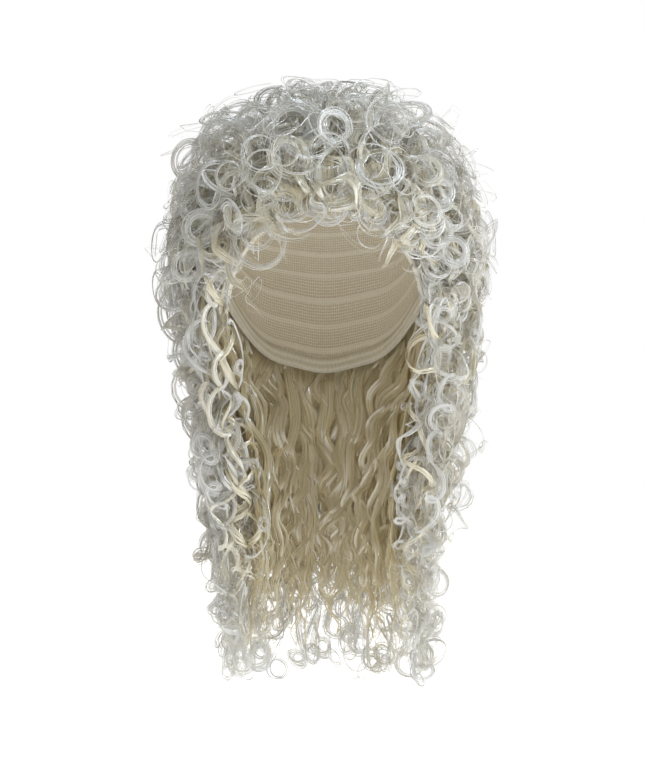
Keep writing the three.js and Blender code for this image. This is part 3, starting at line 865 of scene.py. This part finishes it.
def cloth_material(name, colour, dark, across, along, roughness, rows=0):
    """Woven cloth with a number of cells across and along the map, and tapes sewn over it in rows."""
    material, nodes, out = tree_of(name)
    surface = add(nodes, "BsdfPrincipled", Roughness=roughness)
    where = add_map(nodes)
    stretch = add(nodes, "Mapping", Scale=(across, along, 1.0))
    wire(where, stretch)
    weave = add(nodes, "TexVoronoi", Scale=1.0, Randomness=0.15)
    wire(stretch, weave, "Vector")
    ramp = add_ramp(nodes, (0.15, dark), (0.55, colour))
    wire(weave, ramp)
    split = add(nodes, "SeparateXYZ")
    wire(where, split)
    turn = add(nodes, "Math")
    turn.operation = "MULTIPLY"
    turn.inputs[1].default_value = TURN * rows
    wire(split, turn, 0, 1)
    wave = add(nodes, "Math")
    wave.operation = "COSINE"
    wire(turn, wave)
    sewn = add(nodes, "MapRange", From_Min=0.72, From_Max=0.86, To_Max=0.85 if rows else 0.0)
    wire(wave, sewn, "Value")
    tape = add(nodes, "Mix")
    tape.data_type = "RGBA"
    tape.inputs[7].default_value = TAPE_COLOUR
    wire(sewn, tape, "Factor")
    wire(ramp, tape, 6)
    wire(tape, surface, "Base Color", 2)
    add_bump(nodes, weave, surface, 0.6, 0.0006)
    wire(surface, out)
    return material


# Camera, light and floor


def place_camera(scene):
    camera = bpy.data.cameras.new("camera")
    camera.sensor_fit = "VERTICAL"
    camera.sensor_height = SENSOR_HEIGHT
    camera.lens = SENSOR_HEIGHT * CAMERA_DISTANCE / (IMAGE_HEIGHT * MM_PER_PIXEL)
    eye = put("camera", camera)
    x = (IMAGE_WIDTH / 2 - CROWN_PIXEL[0]) * MM_PER_PIXEL
    z = -(IMAGE_HEIGHT / 2 - CROWN_PIXEL[1]) * MM_PER_PIXEL
    eye.location = (x * MM, -CAMERA_DISTANCE * MM, z * MM)
    eye.rotation_euler = (math.pi / 2, 0, 0)
    scene.camera = eye


def surround(scene):
    """A warm soft light from all round, dimmer on the wearer's right, that is seen as plain white."""
    world = bpy.data.worlds.new("studio")
    world.use_nodes = True
    scene.world = world
    nodes = world.node_tree.nodes
    nodes.clear()
    out = add(nodes, "OutputWorld")
    mix = add(nodes, "MixShader")
    ray = add(nodes, "LightPath")
    soft = add(nodes, "Background", Color=(1.0, 0.89, 0.66, 1))
    shown = add(nodes, "Background", Color=(1.0, 1.0, 1.0, 1), Strength=1.0)
    direction = add(nodes, "TexCoord")
    split = add(nodes, "SeparateXYZ")
    dimmed = add(nodes, "MapRange", From_Min=-1.0, From_Max=0.0, To_Min=0.08, To_Max=0.35)
    wire(direction, split, 0, "Generated")
    wire(split, dimmed, "Value")
    wire(dimmed, soft, "Strength")
    wire(ray, mix, 0, "Is Camera Ray")
    wire(soft, mix, 1)
    wire(shown, mix, 2)
    wire(mix, out)


COOL = (0.75, 0.87, 1.0)
# name, place in metres, size in metres, watts, colour
LAMPS = (
    ("key", (1.65, -1.65, 0.5), 0.35, 15, COOL),
    ("fill", (2.4, -0.7, -0.1), 2.2, 30, (0.96, 0.97, 0.96)),
    ("left", (-1.5, -1.0, 0.9), 0.12, 3.5, COOL),
    ("top", (0.1, -0.7, 1.6), 0.4, 12.5, COOL),
    ("behind", (0.3, 2.0, 0.7), 0.6, 6, (0.9, 0.93, 1.0)),
)


def hang_lamps():
    for name, place, size, power, colour in LAMPS:
        lamp = bpy.data.lights.new(name, "AREA")
        lamp.size, lamp.energy, lamp.color = size, power, colour
        holder = put(name, lamp)
        holder.location = place
        aim = Vector(LAMPS_AIM) - Vector(place)
        holder.rotation_euler = aim.to_track_quat("-Z", "Y").to_euler()


def lay_floor():
    """A round pale floor, which glows so that it meets the white behind it without a line."""
    mesh = bpy.data.meshes.new("floor")
    around = [TURN * i / FLOOR_SIDES for i in range(FLOOR_SIDES)]
    rim = [(FLOOR_RADIUS * math.sin(a), FLOOR_RADIUS * math.cos(a), FLOOR) for a in around]
    mesh.from_pydata(rim, [], [tuple(range(FLOOR_SIDES - 1, -1, -1))])
    material, nodes, out = tree_of("floor")
    surface = add(nodes, "BsdfPrincipled", Base_Color=(0.5, 0.5, 0.5, 1), Roughness=0.9)
    surface.inputs["Emission Color"].default_value = (1, 1, 1, 1)
    surface.inputs["Emission Strength"].default_value = 0.95
    wire(surface, out)
    mesh.materials.append(material)
    floor = put("floor", mesh)


bpy.context.scene.view_settings.view_transform = "Standard"
place_camera(bpy.context.scene)
surround(bpy.context.scene)
hang_lamps()
lay_floor()


# Cap and band

DOME_COLUMNS = 90
DOME_ROWS = 92
WEFT_RELIEF = 0.7
BAND_COLUMNS = 144


def dome(offset):
    """The cap's surface at an offset, as a grid of rows from the crown to the edge."""
    azimuth = np.linspace(0, 360, DOME_COLUMNS, endpoint=False)
    polar = np.linspace(0, 1, DOME_ROWS)[:, None] * cap_edge(azimuth)[None, :]
    return head_point(np.broadcast_to(azimuth, polar.shape), polar, offset)


def grid_faces(rows, around):
    """Faces of a grid of points that closes on itself in each row."""
    r, c = np.meshgrid(np.arange(rows - 1), np.arange(around), indexing="ij")
    n = (c + 1) % around
    low, high = r * around, (r + 1) * around
    return np.stack([low + c, high + c, high + n, low + n], -1).reshape(-1, 4)


def shell(name, outer, inner, material):
    """A closed wall between two grids of points, joined at their rims."""
    rows, around = outer.shape[:2]
    size = rows * around
    outside = grid_faces(rows, around)
    inside = np.roll(outside[:, ::-1], 1, axis=1) + size
    last = size - around + np.arange(around)
    after = np.roll(last, -1)
    rim = np.stack([last, last + size, after + size, after], -1)
    points = np.concatenate([outer.reshape(-1, 3), inner.reshape(-1, 3)])
    at = np.arange(2 * size)
    maps = np.stack([(at % around) / around, (at % size) // around / (rows - 1)], -1)
    return make_mesh(name, points, np.concatenate([outside, inside, rim]), material, maps)


cap_net = cloth_material(
    "cap_net", (0.82, 0.76, 0.64), (0.58, 0.51, 0.38), across=300, along=110, roughness=0.85, rows=WEFT_ROWS
)
ridge = np.cos(math.pi * WEFT_ROWS * np.linspace(0, 1, DOME_ROWS)) ** 8
cap = shell("cap_shell", dome(CAP_WALL), dome(-WEFT_RELIEF * ridge[:, None]), cap_net)
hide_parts("cap")
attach(cap, "root")

elastic = cloth_material(
    "elastic", (0.86, 0.82, 0.72), (0.62, 0.57, 0.45), across=400, along=6, roughness=0.8
)
band_angle = math.degrees(BAND_WIDTH / WIDEST_DROP)
azimuth = np.linspace(0, 360, BAND_COLUMNS, endpoint=False)
polar = cap_edge(azimuth)[None, :] - band_angle * np.linspace(1, 0, 5)[:, None]
azimuth = np.broadcast_to(azimuth, polar.shape)
band_outer = head_point(azimuth, polar, -CLEARANCE)
band_inner = head_point(azimuth, polar, -CLEARANCE - BAND_WALL)
section = np.concatenate([band_outer, band_inner[::-1], band_outer[:1]])
rows = len(section)
u = np.tile(np.arange(BAND_COLUMNS) / BAND_COLUMNS, rows)
v = np.repeat(np.arange(rows) / (rows - 1), BAND_COLUMNS)
faces = grid_faces(rows, BAND_COLUMNS)
band = make_mesh("edge_elastic", section.reshape(-1, 3), faces, elastic, np.stack([u, v], -1))
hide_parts("edge_band")
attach(band, "root")


# Hair

hair = hair_material()


def hair_piece(name, node, groups):
    points, normals, faces, maps = strips(groups)
    piece = make_mesh(name, points, faces, hair, maps, normals)
    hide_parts(node)
    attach(piece, "root")


# Ringlets of a hank by kind: wound loops that show from outside, wide ones among them, plain ones
# behind them, flat waves along the hollow from a share INNER_FROM of the way from the face, and
# loops along the face up to a share EDGE_TO
OUTER = dict(
    depths=(0.65, 1.0), radius=(4.5, 8), pitch=(15, 25), tips=(0.9, 1.0), turned=50, width=3.0, **LOOPED
)
WIDE = dict(depths=(0.6, 1.0), radius=(6.5, 11), pitch=(22, 36), tips=(0.88, 1.0), shift=9.0)
WIDE.update(turned=60, width=2.0, **LOOPED)
MIDDLE = dict(depths=(0.25, 0.65), radius=(5, 8), pitch=(26, 40), tips=(0.86, 0.98))
INNER = dict(depths=(0.0, 0.15), radius=(3, 5), pitch=(30, 46), tips=(0.84, 0.96), shift=3.0)
INNER.update(strand=2.4, width=7.0, thickness=1.5, twist=0.15, plane=1.0)
EDGE = dict(depths=(0.0, 0.9), radius=(4, 9), pitch=(15, 30), tips=(0.8, 0.97), shift=9.0)
EDGE.update(tops=(0.18, 0.28), turned=70, width=2.0, **LOOPED)
INNER_FROM = 0.07
EDGE_TO = 0.12

# name, from and to as shares of the way from face to nape, density, strands of an outer ringlet,
# ringlets along the face
HANKS = (("face", 0.0, 0.33, 1.0, 6, 8), ("side", 0.33, 0.66, 0.86, 5, 0), ("nape", 0.66, 1.0, 0.78, 5, 0))
for side, sign in (("right", -1), ("left", 1)):
    for hank, low, high, density, strand_count, edge_count in HANKS:
        span = (sign, low, high)
        outer_locks = long_locks(*span, round(13 * density), **OUTER)
        wide_locks = long_locks(*span, round(7 * density), **WIDE)
        upper_locks = tip_curls(*span, round(14 * density), (0.36, 1.0), (5, 10), (1.6, 3.0))
        middle_locks = long_locks(*span, 10, **MIDDLE)
        inner_locks = long_locks(sign, max(low, INNER_FROM), high, 14, **INNER)
        strands = [
            *ribbons(wide_locks, 1, 9, 11.5),
            *ribbons(wide_locks, 1, 1, 13, loose=2.5, thin=0.7),
            *ribbons(outer_locks, 1, strand_count, 11),
            *ribbons(outer_locks, 1, 1, 12, loose=2.5, thin=0.7),
            *ribbons(upper_locks, 1, 6, 13),
            *hanging_rings(*span, round(24 * density), (0.3, 1.0), (5, 10), 6, 0.6),
            *hanging_rings(*span, round(24 * density), (0.3, 1.0), (6, 12), 2, 0.45),
            *hanging_rings(*span, round(14 * density), (0.84, 0.985), (5, 9), 6, 0.6),
            *ribbons(middle_locks, 2, 2, 7, thin=2.2, lanes=2),
            *ribbons(inner_locks, 2, 3, 7, thin=1.3, lanes=3),
        ]
        if edge_count:
            edge_locks = long_locks(sign, 0.0, EDGE_TO, edge_count, **EDGE)
            # The locks along the face take pale lanes, without the painted shade of their depth
            edge_locks["depth"] = rng.uniform(0.8, 1.0, edge_count)
            strands += ribbons(edge_locks, 1, 6, 11.5)
        hair_piece(f"{side}_{hank}_hair", f"{side}_{hank}_ringlets", strands)

# Loops that stand out: x, y and radius in pixels of the photograph's frame, start and sweep in degrees,
# height over the head, strands and the width of a strand
DRAWN = {
    "fringe": (
        (264, 243, 29, 150, 255, 10, 5, 0.65),
        (261, 235, 18, 150, 240, 12, 6, 0.65),
        (258, 216, 21, 160, 230, 8, 8, 0.7),
        (292, 202, 22, 140, 330, 12, 9, 0.7),
        (300, 208, 30, 150, 220, 10, 4, 0.6),
        (331, 214, 12, 100, 240, 7, 3, 0.55),
        (371, 240, 16, 60, 230, 7, 2, 0.5),
        (395, 238, 20, 100, -200, 8, 6, 0.65),
        (405, 262, 15, 110, -220, 8, 4, 0.6),
        (235, 262, 14, 120, 300, 12, 6, 0.65),
        (340, 190, 15, 90, 300, 14, 8, 0.7),
        (380, 182, 18, 90, -330, 18, 9, 0.7),
    ),
    "crown": (
        (293, 131, 21, 80, 560, 34, 14, 0.7),
        (223, 141, 20, 30, 380, 38, 10, 0.65),
        (256, 124, 16, 60, -380, 36, 8, 0.65),
        (330, 160, 20, 70, -300, 26, 8, 0.7),
        (352, 118, 17, 100, 330, 36, 9, 0.7),
        (392, 128, 18, 60, -340, 36, 8, 0.7),
        (424, 150, 16, 40, -360, 36, 8, 0.65),
    ),
    "right_temple": (
        (191, 187, 14, 80, 400, 34, 8, 0.6),
        (205, 232, 16, 60, 330, 30, 8, 0.65),
        (190, 268, 14, 80, 360, 32, 7, 0.6),
    ),
    "left_temple": (
        (436, 196, 13, 100, -380, 34, 8, 0.6),
        (450, 255, 13, 90, -360, 32, 8, 0.6),
        (425, 228, 15, 80, -330, 24, 7, 0.65),
    ),
}

# name, from and to in azimuth, from and to in polar angle, and the spacings of its rings and of its waves
PATCHES = (
    ("fringe", -50, 50, 34, 84, 23.0, 10.5),
    ("left_temple", 50, 108, 34, 98, 16.0, 15.0),
    ("back", 108, 252, 34, 96, 17.0, 15.0),
    ("right_temple", 252, 310, 34, 98, 16.0, 15.0),
    ("crown", 0, 360, 2, 36, 19.5, 11.5),
)
UNDER_SPACING = 10.0
SWEPT_SPACING = 24.0
BODY_SPACING = 21.0
LOOP_SPACING = 16.5
LOOSE_RING_SPACING = 18.5
ROOT_RING_SPACING = 13.0
# Where rings cover the roots of the hanging hair, and where they hang over the cap's front edge
ROOTS = {
    "left_temple": (52, 80, 84, 112),
    "back": (120, 240, 96, 112),
    "right_temple": (280, 308, 84, 112),
}
HAIRLINE = {"fringe": (-50, 50), "left_temple": (50, 92), "right_temple": (-92, -50)}
for name, low_azimuth, high_azimuth, low_polar, high_polar, ring_spacing, flow_spacing in PATCHES:
    area = (low_azimuth, high_azimuth, low_polar, high_polar)
    under = under_layer(*scatter(*area, UNDER_SPACING))
    flow = flowing_locks(*scatter(*area, flow_spacing), (0.35, 0.8), (38, 70))
    swept = flowing_locks(*scatter(*area, SWEPT_SPACING), (0.7, 0.9), (40, 75))
    body = short_locks(*scatter(*area, BODY_SPACING), (8, 13), (2, 14), (30, 55), (1.3, 2.6))
    loops = short_locks(*scatter(*area, LOOP_SPACING), (8, 18), (-6, 8), (20, 60), (0.9, 2.0))
    groups = [
        *ribbons(under, 1, 4, 5, lanes=2),
        *ribbons(flow, 2, 5, 7.5, thin=0.95),
        *ribbons(swept, 2, 7, 8, thin=0.6),
        *ribbons(body, 1, 6, 14),
        *ribbons(loops, 2, 1, 18, loose=2.0, thin=0.65),
        *head_rings(*scatter(*area, ring_spacing), (8, 16), (0, 12), 9, 0.6),
    ]
    if name in ROOTS:
        groups += head_rings(*scatter(*ROOTS[name], ROOT_RING_SPACING), (6, 11), (4, 22), 6, 0.6)
    groups += head_rings(*scatter(*area, LOOSE_RING_SPACING), (9, 20), (-5, 8), 3, 0.45)
    if name in HAIRLINE:
        groups += hairline_rings(*HAIRLINE[name], 26, (6, 13), 6, 0.6)
        groups += hairline_rings(*HAIRLINE[name], 22, (6, 14), 2, 0.5)
    groups += drawn_loops(DRAWN.get(name, ()))
    hair_piece(f"{name}_hair", f"{name}_curls", groups)
